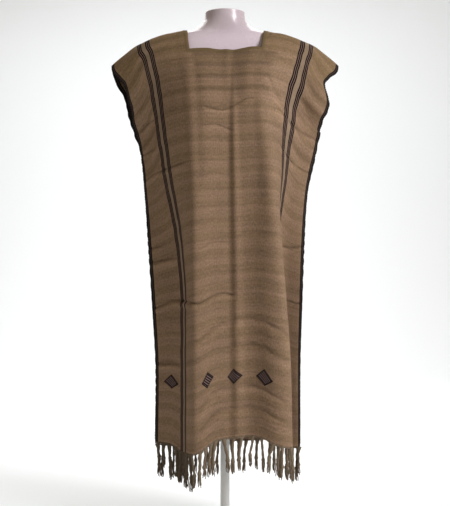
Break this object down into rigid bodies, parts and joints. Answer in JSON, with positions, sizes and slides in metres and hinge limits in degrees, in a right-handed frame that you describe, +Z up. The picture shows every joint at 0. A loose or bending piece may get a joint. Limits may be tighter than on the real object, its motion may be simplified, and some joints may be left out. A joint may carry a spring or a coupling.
{
  "type": "huipil dress on a limbless dress form",
  "caption": "Long straight handwoven dress with a square neck, open armholes and a fringed hem, worn by a headless, armless display torso on a round floor stand.",
  "frame": {"origin": "on the floor at the centre of the round base plate, under the pole's axis", "axes": "+Z up, the wearer's front towards -Y, +X to the right of someone who looks at the front"},
  "size_m": [0.6231, 0.303, 1.42],
  "materials": {
    "cloth": "matt handwoven brown-beige cotton with faint weft stripes, dark warp bands and dark selvages",
    "fringe": "matt twisted cotton",
    "form_shell": "glossy",
    "stand_paint": "satin"
  },
  "bodies": {
    "root": {"dress_front": "cloth", "dress_back": "cloth", "fringe_front": "fringe", "fringe_back": "fringe", "form_torso": "form_shell", "form_flange": "stand_paint", "pole": "stand_paint", "pole_foot": "stand_paint", "base_plate": "stand_paint"}
  },
  "joints": []
}
